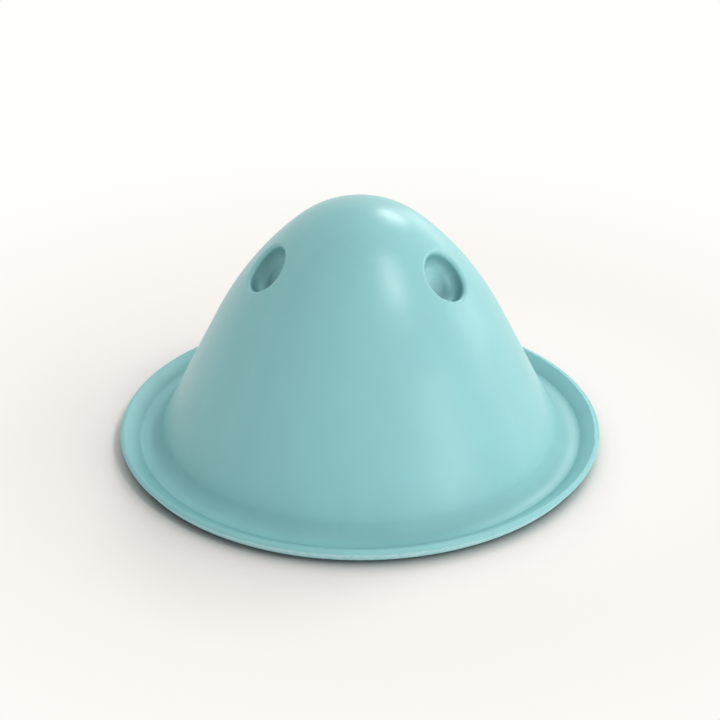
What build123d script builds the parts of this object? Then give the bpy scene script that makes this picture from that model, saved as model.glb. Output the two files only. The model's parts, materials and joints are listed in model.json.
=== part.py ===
"""Rocking play shell: a one-piece moulded dome with an upturned rim and two hand recesses.

Millimetres, +Z up.  The shell stands on the flat land under its rim at Z = 0, its axis is
the Z axis, and the two recesses look out to the left and right of the front, which is -Y.
"""

import os
from math import acos, atan2, cos, degrees, hypot, radians, sin, tan

from build123d import *

# ---------------------------------------------------------------- whole moulding
height = 206.0            # floor to the top of the crown
rim_radius = 195.0        # outermost edge of the rim
wall = 4.0                # skin thickness everywhere but in the rim

# ---------------------------------------------------------------- dome outline, outer skin
crown_radius = 81.5       # round top
shoulder_radius = 270.0   # slow curve from crown to flank
flank_length = 101.0      # straight part of the flank
foot_radius = 16.5        # hollow corner between the flank and the gutter

# ---------------------------------------------------------------- rim
rim_height = 11.5         # floor to the top of the bead
bead_radius = 2.7         # round top edge of the rim
lip_slope = 30.0          # degrees from level of the lip's inner face
face_slope = 52.0         # degrees from level of the lip's outer face
gutter_corner = 5.0       # hollow corner between the gutter and the lip
gutter_flat = 1.4         # level strip between that corner and the foot's
heel_radius = 8.0         # outside corner between the land and the lip's outer face

# ---------------------------------------------------------------- hand recesses
recess_bearing = 66.4     # degrees each side of the front
recess_drop = 32.5        # from the crown's edge down along the shoulder to its middle
recess_radius = 21.0      # mouth of the pocket where it meets the skin
recess_depth = 14.0       # skin to the deepest point
recess_draft = 12.0       # degrees that its side leans in
recess_floor = 9.0        # hollow corner between its side and its floor
recess_edge = 3.0         # round-over from the skin into the hollow
recess_root = 2.0         # hollow corner behind it, where its back meets the inside
recess_seat = 4.5         # skin to the top of the backing, just under the skin
recess_clear = 8.0        # how far the cut stands out of the skin

# ---------------------------------------------------------------- moulding gate
gate_radius = 5.0         # round witness mark under the crown
gate_height = 0.8

# The bead's centre, and the two faces of the lip that run into it.
bead_r = rim_radius - bead_radius
bead_z = rim_height - bead_radius
lip_top = (bead_r - bead_radius * sin(radians(lip_slope)), bead_z + bead_radius * cos(radians(lip_slope)))
lip_foot = (lip_top[0] - (lip_top[1] - wall) / tan(radians(lip_slope)), wall)
face_top = (bead_r + bead_radius * sin(radians(face_slope)), bead_z - bead_radius * cos(radians(face_slope)))
face_foot = (face_top[0] - face_top[1] / tan(radians(face_slope)), 0)
gutter_radius = lip_foot[0] - gutter_corner * tan(radians(lip_slope / 2)) - gutter_flat

# Crown, shoulder and foot are arcs.  The shoulder's centre is a known distance from both of the
# others, so the triangle of the three centres gives the slopes at which the outline changes.
crown_centre_z = height - crown_radius
foot_centre_z = wall + foot_radius
crown_to_foot = hypot(gutter_radius, crown_centre_z - foot_centre_z)
crown_to_shoulder = shoulder_radius - crown_radius
shoulder_to_foot = hypot(shoulder_radius + foot_radius, flank_length)
crown_corner = acos(
    (crown_to_foot**2 + crown_to_shoulder**2 - shoulder_to_foot**2) / (2 * crown_to_foot * crown_to_shoulder)
)
crown_slope = degrees(crown_corner - atan2(gutter_radius, crown_centre_z - foot_centre_z))
shoulder_centre_r = -crown_to_shoulder * sin(radians(crown_slope))
shoulder_centre_z = crown_centre_z - crown_to_shoulder * cos(radians(crown_slope))
foot_bearing = atan2(gutter_radius - shoulder_centre_r, foot_centre_z - shoulder_centre_z)
flank_slope = degrees(foot_bearing - atan2(flank_length, shoulder_radius + foot_radius))

# Middle of each recess, as the slope of the skin there.
recess_slope = crown_slope + degrees(recess_drop / shoulder_radius)


def recess_plane(bearing):
    """Plane square to a recess's axis, its origin on the skin, facing out."""
    r = shoulder_centre_r + shoulder_radius * sin(radians(recess_slope))
    z = shoulder_centre_z + shoulder_radius * cos(radians(recess_slope))
    ahead = Vector(sin(radians(bearing)), -cos(radians(bearing)), 0)
    across = Vector(cos(radians(bearing)), sin(radians(bearing)), 0)
    outward = ahead * sin(radians(recess_slope)) + Vector(0, 0, cos(radians(recess_slope)))
    return Plane(origin=(ahead.X * r, ahead.Y * r, z), x_dir=across, z_dir=outward)


def pocket(top, skin):
    """A recess's hollow up to a height above the skin; a skin thickness makes it the backing's outside."""
    lean = tan(radians(recess_draft))
    side = recess_radius + skin / cos(radians(recess_draft))
    deep = recess_depth + skin
    with BuildPart(mode=Mode.PRIVATE) as body:
        Cone(side - deep * lean, side + top * lean, deep + top, align=(Align.CENTER, Align.CENTER, Align.MIN))
        fillet(body.edges().sort_by(Axis.Z)[0], radius=recess_floor + skin)
    return Pos(0, 0, -deep) * body.part


hollow = pocket(recess_clear, 0)
backing = pocket(-recess_seat, wall)

with BuildPart() as shell:
    # The skin: one section through dome, gutter and lip, spun about the axis from the back.
    with BuildSketch(Plane.YZ) as section:
        with BuildLine():
            crown = JernArc((0, height), (1, 0), crown_radius, -crown_slope)
            shoulder = JernArc(crown @ 1, crown % 1, shoulder_radius, crown_slope - flank_slope)
            flank = PolarLine(shoulder @ 1, flank_length, direction=shoulder % 1)
            foot = JernArc(flank @ 1, flank % 1, foot_radius, flank_slope)
            Polyline(foot @ 1, lip_foot, lip_top)
            lip_way = (cos(radians(lip_slope)), sin(radians(lip_slope)))
            bead = JernArc(lip_top, lip_way, bead_radius, face_slope - lip_slope - 180)
            under_crown = JernArc((0, height - wall), (1, 0), crown_radius - wall, -crown_slope)
            under_shoulder = JernArc(
                under_crown @ 1, under_crown % 1, shoulder_radius - wall, crown_slope - flank_slope
            )
            under_flank = PolarLine(under_shoulder @ 1, flank_length, direction=under_shoulder % 1)
            under_foot = JernArc(under_flank @ 1, under_flank % 1, foot_radius + wall, flank_slope)
            Polyline(under_foot @ 1, face_foot, bead @ 1)
            Line(under_crown @ 0, crown @ 0)
        make_face()
        gutter_point = section.vertices().sort_by_distance(lip_foot)[0]
        heel_point = section.vertices().sort_by_distance(face_foot)[0]
        fillet(gutter_point, radius=gutter_corner)
        fillet(heel_point, radius=heel_radius)
    revolve(axis=Axis.Z)

    # Hand recesses: the backing stands in under the skin, then the hollow is cut out of both.
    recess_planes = (recess_plane(-recess_bearing), recess_plane(recess_bearing))
    with Locations(*recess_planes):
        add(backing)
    with Locations(*recess_planes):
        add(hollow, mode=Mode.SUBTRACT)
    rings = shell.edges().filter_by(GeomType.BSPLINE)
    mouths = [rings.sort_by_distance(place.origin)[0] for place in recess_planes]
    roots = [ring for ring in rings if ring not in mouths]
    fillet(mouths, radius=recess_edge)
    fillet(roots, radius=recess_root)

    # Gate mark left under the crown, sunk into the skin so that it is one with it.
    with BuildSketch(Plane.XY.offset(height - wall - gate_height)):
        Circle(gate_radius)
    extrude(amount=gate_height + wall / 2)

if __name__ == "__main__":
    os.makedirs("parts", exist_ok=True)
    shell.part.label = "shell"
    export_step(shell.part, "parts/shell.step")
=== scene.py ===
import json
import math

import bpy
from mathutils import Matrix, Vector

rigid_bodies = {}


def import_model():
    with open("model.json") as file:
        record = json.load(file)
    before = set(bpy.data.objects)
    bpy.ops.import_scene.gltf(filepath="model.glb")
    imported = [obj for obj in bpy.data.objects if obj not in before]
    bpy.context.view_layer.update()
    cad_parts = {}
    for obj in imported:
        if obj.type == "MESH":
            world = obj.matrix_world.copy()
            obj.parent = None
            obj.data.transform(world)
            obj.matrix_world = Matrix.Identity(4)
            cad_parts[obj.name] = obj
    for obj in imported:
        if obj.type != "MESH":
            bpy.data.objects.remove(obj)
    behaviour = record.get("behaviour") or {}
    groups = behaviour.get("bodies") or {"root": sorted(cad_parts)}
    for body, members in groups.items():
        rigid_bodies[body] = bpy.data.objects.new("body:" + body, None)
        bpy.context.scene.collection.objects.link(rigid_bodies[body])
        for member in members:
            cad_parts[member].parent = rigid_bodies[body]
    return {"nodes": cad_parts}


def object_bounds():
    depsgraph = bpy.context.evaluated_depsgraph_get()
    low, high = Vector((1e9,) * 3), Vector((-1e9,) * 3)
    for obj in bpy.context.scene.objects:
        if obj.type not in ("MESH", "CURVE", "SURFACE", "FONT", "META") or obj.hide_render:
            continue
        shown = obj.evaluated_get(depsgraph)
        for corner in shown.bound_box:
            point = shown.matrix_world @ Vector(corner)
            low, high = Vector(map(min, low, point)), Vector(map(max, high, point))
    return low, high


for start_object in list(bpy.data.objects):
    bpy.data.objects.remove(start_object)

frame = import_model()
cad_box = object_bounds()

# Shell: the whole object is one moulding of polyethylene, coloured all through in a soft sea green.
# The tool was blasted, so the skin comes out satin, and the shell is filled at the crown and
# runs down to the rim.  It stands on the flat land under the rim and isn't fixed to anything.
shell = frame["nodes"]["shell"]
rim_radius = cad_box[1][0]
bead_height = 0.012
foot_height = 0.050
pocket_reach = 0.024


def linear(hex_colour):
    """An sRGB hex colour as the linear RGBA that the shader sockets take."""
    channels = [int(hex_colour[i:i + 2], 16) / 255 for i in (1, 3, 5)]
    return [c / 12.92 if c <= 0.04045 else ((c + 0.055) / 1.055) ** 2.4 for c in channels] + [1.0]


def add_node(tree, kind, settings=None, inputs=None):
    """Adds a node, sets its properties and fills its inputs with values or with other sockets."""
    node = tree.nodes.new(kind)
    for name, value in (settings or {}).items():
        setattr(node, name, value)
    for key, value in (inputs or {}).items():
        if isinstance(value, bpy.types.NodeSocket):
            tree.links.new(value, node.inputs[key])
        else:
            node.inputs[key].default_value = value
    return node


# Satin moulded polyethylene.  To the eye it is an even, slightly milky green with soft edges to
# its highlights, and only a close look finds the drift of the pigment and the grain of the tool.
moulded = bpy.data.materials.new("moulded_polyethylene")
moulded.use_nodes = True
tree = moulded.node_tree
tree.nodes.clear()
place = add_node(tree, "ShaderNodeTexCoord").outputs["Object"]
facing = add_node(tree, "ShaderNodeNewGeometry").outputs["Normal"]
level = add_node(tree, "ShaderNodeSeparateXYZ", inputs={0: place}).outputs["Z"]

# Pigment drifts in clouds about 110 mm across, a shade either way.
cloud = add_node(tree, "ShaderNodeTexNoise", inputs={
    "Vector": place, "Scale": 1000 / 110, "Detail": 3.0})
cloud_colour = add_node(tree, "ShaderNodeMix", {"data_type": "RGBA"}, {
    "Factor": cloud.outputs["Fac"], "A": linear("#85C0C2"), "B": linear("#8DC9CA")})

# The melt ran down from the gate under the crown, and left streaks 26 mm wide along the fall of
# the skin: the noise is read on a squeezed height, so it stretches some ten times down the slope.
fall = add_node(tree, "ShaderNodeMapping", inputs={"Vector": place, "Scale": (1.0, 1.0, 0.1)})
streak = add_node(tree, "ShaderNodeTexNoise", inputs={
    "Vector": fall.outputs["Vector"], "Scale": 1000 / 26, "Detail": 4.0, "Roughness": 0.6})
streak_tone = add_node(tree, "ShaderNodeMapRange", inputs={
    "Value": streak.outputs["Fac"], "To Min": 0.94, "To Max": 1.06})
streaked = add_node(tree, "ShaderNodeVectorMath", {"operation": "SCALE"}, {
    0: cloud_colour.outputs["Result"], "Scale": streak_tone.outputs["Result"]})

# The bottom of the pockets and the gutter are painted a shade darker, as painted shade that stands
# in for the shade soft light doesn't leave there, and the skin there is also duller.  How far the
# shell itself closes a place in, looking a little downward, says where; near the rim it is weaker.
lowered = add_node(tree, "ShaderNodeVectorMath", inputs={0: facing, 1: (0.0, 0.0, -0.8)})
downward = add_node(tree, "ShaderNodeVectorMath", {"operation": "NORMALIZE"}, {
    0: lowered.outputs["Vector"]})
open_sky = add_node(tree, "ShaderNodeAmbientOcclusion", {"samples": 12, "only_local": True}, {
    "Distance": pocket_reach, "Normal": downward.outputs["Vector"]})
tucked = add_node(tree, "ShaderNodeMapRange", {"interpolation_type": "SMOOTHSTEP"}, {
    "Value": open_sky.outputs["AO"], "From Min": 0.12, "From Max": 0.74, "To Min": 1.0, "To Max": 0.0})
painted_shade_rim_fade = add_node(tree, "ShaderNodeMapRange", {"interpolation_type": "SMOOTHSTEP"}, {
    "Value": level, "From Min": bead_height, "From Max": foot_height, "To Min": 0.36, "To Max": 1.0})
# The amount of painted shade: how enclosed a place is, times its fade toward the rim.
painted_shade = add_node(tree, "ShaderNodeMath", {"operation": "MULTIPLY"}, {
    0: tucked.outputs["Result"], 1: painted_shade_rim_fade.outputs["Result"]})
# Painted shade: the skin colour is multiplied toward a grey green by that amount.
skin_colour = add_node(tree, "ShaderNodeMix", {"data_type": "RGBA", "blend_type": "MULTIPLY"}, {
    "Factor": painted_shade.outputs["Value"], "A": streaked.outputs["Vector"], "B": linear("#7E8F94")})

# The shell rocks on its rim, so the land and the face under the bead are scuffed a little paler,
# in specks of about 4 mm.
flat = add_node(tree, "ShaderNodeVectorMath", {"operation": "MULTIPLY"}, {0: place, 1: (1.0, 1.0, 0.0)})
radius = add_node(tree, "ShaderNodeVectorMath", {"operation": "LENGTH"}, {0: flat.outputs["Vector"]})
at_rim = add_node(tree, "ShaderNodeMapRange", {"interpolation_type": "SMOOTHSTEP"}, {
    "Value": radius.outputs["Value"], "From Min": rim_radius - 0.018, "From Max": rim_radius - 0.012})
turn = add_node(tree, "ShaderNodeSeparateXYZ", inputs={0: facing})
under = add_node(tree, "ShaderNodeMapRange", {"interpolation_type": "SMOOTHSTEP"}, {
    "Value": turn.outputs["Z"], "From Min": -0.55, "From Max": 0.10, "To Min": 1.0, "To Max": 0.0})
speck = add_node(tree, "ShaderNodeTexNoise", inputs={
    "Vector": place, "Scale": 1000 / 4, "Detail": 3.0})
rubbed = add_node(tree, "ShaderNodeMath", {"operation": "MULTIPLY"}, {
    0: at_rim.outputs["Result"], 1: under.outputs["Result"]})
scuffed = add_node(tree, "ShaderNodeMath", {"operation": "MULTIPLY"}, {
    0: rubbed.outputs["Value"], 1: speck.outputs["Fac"]})
worn_colour = add_node(tree, "ShaderNodeMix", {"data_type": "RGBA"}, {
    "Factor": scuffed.outputs["Value"], "A": skin_colour.outputs["Result"], "B": linear("#CDEAEA")})

# Gloss wanders a little with handling, in patches about 36 mm across.  Toward the floor the skin is
# taken to be duller, as dust and shoes would leave it.
handled = add_node(tree, "ShaderNodeTexNoise", inputs={
    "Vector": place, "Scale": 1000 / 36, "Detail": 4.0})
gloss = add_node(tree, "ShaderNodeMapRange", inputs={
    "Value": handled.outputs["Fac"], "To Min": 0.27, "To Max": 0.37})
dusty = add_node(tree, "ShaderNodeMapRange", {"interpolation_type": "SMOOTHSTEP"}, {
    "Value": level, "From Min": 0.006, "From Max": 0.045, "To Min": 0.16, "To Max": 0.0})
matt = add_node(tree, "ShaderNodeMath", {"operation": "ADD"}, {
    0: gloss.outputs["Result"], 1: dusty.outputs["Result"]})
dulled = add_node(tree, "ShaderNodeMath", {"operation": "MULTIPLY_ADD"}, {
    0: tucked.outputs["Result"], 1: 0.3, 2: matt.outputs["Value"]})

# Blasting grain is about 0.15 mm, too fine to show, so it is drawn at 1.4 mm.  Under it lies the
# faint waviness of a thick wall that shrank as it cooled, about 14 mm from crest to crest.
grain = add_node(tree, "ShaderNodeTexNoise", inputs={
    "Vector": place, "Scale": 1000 / 1.4, "Detail": 2.0})
grain_relief = add_node(tree, "ShaderNodeBump", inputs={
    "Height": grain.outputs["Fac"], "Strength": 0.06, "Distance": 0.0002})
wave = add_node(tree, "ShaderNodeTexNoise", inputs={
    "Vector": place, "Scale": 1000 / 14, "Detail": 1.0})
relief = add_node(tree, "ShaderNodeBump", inputs={
    "Height": wave.outputs["Fac"], "Strength": 0.05, "Distance": 0.001,
    "Normal": grain_relief.outputs["Normal"]})

skin = add_node(tree, "ShaderNodeBsdfPrincipled", inputs={
    "Base Color": worn_colour.outputs["Result"], "Roughness": dulled.outputs["Value"], "IOR": 1.51,
    "Normal": relief.outputs["Normal"]})
add_node(tree, "ShaderNodeOutputMaterial", inputs={"Surface": skin.outputs["BSDF"]})
shell.data.materials.clear()
shell.data.materials.append(moulded)

# Floor: one wide sheet of pale paper, faintly warm by the shell and bleached white further out.
# It lies 0.2 mm under the land, so that the two faces don't fight for one plane.  Seen directly
# it has a contact shadow painted into its colour close to what stands on it, most of it at the front.
floor_size = 30.0
floor_drop = 0.0002
contact_reach = 0.05


def backdrop_rays(tree):
    """1 on rays from the camera and on those that gloss or glass passes on, 0 on the others."""
    ray = add_node(tree, "ShaderNodeLightPath").outputs
    passed_on = add_node(tree, "ShaderNodeMath", {"operation": "ADD"}, {
        0: ray["Is Glossy Ray"], 1: ray["Is Transmission Ray"]})
    seen = add_node(tree, "ShaderNodeMath", {"operation": "ADD", "use_clamp": True}, {
        0: ray["Is Camera Ray"], 1: passed_on.outputs["Value"]})
    return seen.outputs["Value"]


bpy.ops.mesh.primitive_plane_add(size=floor_size, location=(0, 0, -floor_drop))
floor = bpy.context.object
floor.name = "floor"
paper = bpy.data.materials.new("pale_paper")
paper.use_nodes = True
tree = paper.node_tree
tree.nodes.clear()
place = add_node(tree, "ShaderNodeTexCoord").outputs["Object"]
reach = add_node(tree, "ShaderNodeVectorMath", {"operation": "LENGTH"}, {0: place})

# The matt sheet, with a painted contact shadow: its colour goes toward grey where occlusion closes in.
contact = add_node(tree, "ShaderNodeAmbientOcclusion", {"samples": 12}, {"Distance": contact_reach})
front = add_node(tree, "ShaderNodeVectorMath", {"operation": "DOT_PRODUCT"}, {
    0: place, 1: (-0.08, -1.0, 0.0)})
lean = add_node(tree, "ShaderNodeMapRange", {"interpolation_type": "SMOOTHSTEP"}, {
    "Value": front.outputs["Value"], "From Min": -0.05, "From Max": 0.22, "To Min": 0.45, "To Max": 1.6})
shade = add_node(tree, "ShaderNodeMath", {"operation": "POWER"}, {
    0: contact.outputs["AO"], 1: lean.outputs["Result"]})
# Painted shadow: the sheet's colour is mixed toward dark grey by the occlusion, more at the front.
painted_shadow_tint = add_node(tree, "ShaderNodeMix", {"data_type": "RGBA"}, {
    "Factor": shade.outputs["Value"], "A": linear("#3C4244"), "B": linear("#FCF7F3")})
direct = add_node(tree, "ShaderNodeLightPath").outputs["Is Camera Ray"]
tone = add_node(tree, "ShaderNodeMix", {"data_type": "RGBA"}, {
    "Factor": direct, "A": linear("#FFFFFF"), "B": painted_shadow_tint.outputs["Result"]})
sheet = add_node(tree, "ShaderNodeBsdfDiffuse", inputs={"Color": tone.outputs["Result"]})

# Further out the sheet turns into the plain white of the backdrop, clear of the shell's shadow.
bleach = add_node(tree, "ShaderNodeMapRange", inputs={
    "Value": reach.outputs["Value"], "From Min": 0.28, "From Max": 0.60})
backdrop = add_node(tree, "ShaderNodeMix", {"data_type": "RGBA"}, {
    "Factor": bleach.outputs["Result"], "A": linear("#FAF5F1"), "B": linear("#FFFFFB")})
white = add_node(tree, "ShaderNodeEmission", inputs={"Color": backdrop.outputs["Result"], "Strength": 1.0})
fade = add_node(tree, "ShaderNodeMapRange", {"interpolation_type": "SMOOTHSTEP"}, {
    "Value": reach.outputs["Value"], "From Min": 0.19, "From Max": 0.36})
far = add_node(tree, "ShaderNodeMath", {"operation": "MULTIPLY"}, {
    0: fade.outputs["Result"], 1: backdrop_rays(tree)})
blend = add_node(tree, "ShaderNodeMixShader", inputs={
    0: far.outputs["Value"], 1: sheet.outputs["BSDF"], 2: white.outputs["Emission"]})
add_node(tree, "ShaderNodeOutputMaterial", inputs={"Surface": blend.outputs["Shader"]})
floor.data.materials.append(paper)

# Studio light: a small key high on the right, another behind that catches the crown, and three
# low, broad boxes round the right side.  An even room fills the rest: it lights the shell softly,
# and is plain white where it is seen or mirrored.
lamp_distance = 2.5
lamp_aim = Vector((0, 0, 0.1))
room_fill = 0.595


def softbox(name, bearing, rise, width, height, watts):
    """A box aimed at the shell, at a bearing from the front toward +X and a rise above level."""
    b, r = math.radians(bearing), math.radians(rise)
    away = Vector((math.cos(r) * math.sin(b), -math.cos(r) * math.cos(b), math.sin(r)))
    lamp = bpy.data.lights.new(name, "AREA")
    lamp.shape = "RECTANGLE"
    lamp.size = width
    lamp.size_y = height
    lamp.energy = watts
    holder = bpy.data.objects.new(name, lamp)
    holder.location = lamp_aim + lamp_distance * away
    holder.rotation_euler = (-away).to_track_quat("-Z", "Y").to_euler()
    bpy.context.scene.collection.objects.link(holder)


softbox("key", 60, 54, 0.56, 0.56, 14.8)
softbox("crown", 160, 38, 0.70, 0.46, 13.8)
softbox("window", 58, 7, 1.3, 0.8, 12.0)
softbox("side", 115, 14, 1.4, 0.8, 7.6)
softbox("back", 158, 14, 0.9, 0.8, 4.0)

room = bpy.data.worlds.new("studio")
room.use_nodes = True
tree = room.node_tree
tree.nodes.clear()
strength = add_node(tree, "ShaderNodeMapRange", inputs={
    "Value": backdrop_rays(tree), "To Min": room_fill, "To Max": 1.0})
walls = add_node(tree, "ShaderNodeBackground", inputs={
    "Color": linear("#FFFFFF"), "Strength": strength.outputs["Result"]})
add_node(tree, "ShaderNodeOutputWorld", inputs={"Surface": walls.outputs["Background"]})
bpy.context.scene.world = room

# Camera: a long lens a little above the shell and to the right of its front.  It stands on a line
# from a point just over the floor, and is tilted a little less than that line rises.
camera_data = bpy.data.cameras.new("camera")
camera_data.lens = 110.0
camera_data.sensor_width = 36.0
camera = bpy.data.objects.new("camera", camera_data)
distance = 1.799
foot_of_line = 0.010
bearing = math.radians(6.26)
rise = math.radians(29.64)
tilt = math.radians(28.0)
camera.location = (
    distance * math.cos(rise) * math.sin(bearing),
    -distance * math.cos(rise) * math.cos(bearing),
    foot_of_line + distance * math.sin(rise),
)
camera.rotation_euler = (math.pi / 2 - tilt, 0, bearing)
bpy.context.scene.collection.objects.link(camera)
bpy.context.scene.camera = camera
bpy.context.scene.view_settings.view_transform = "Standard"
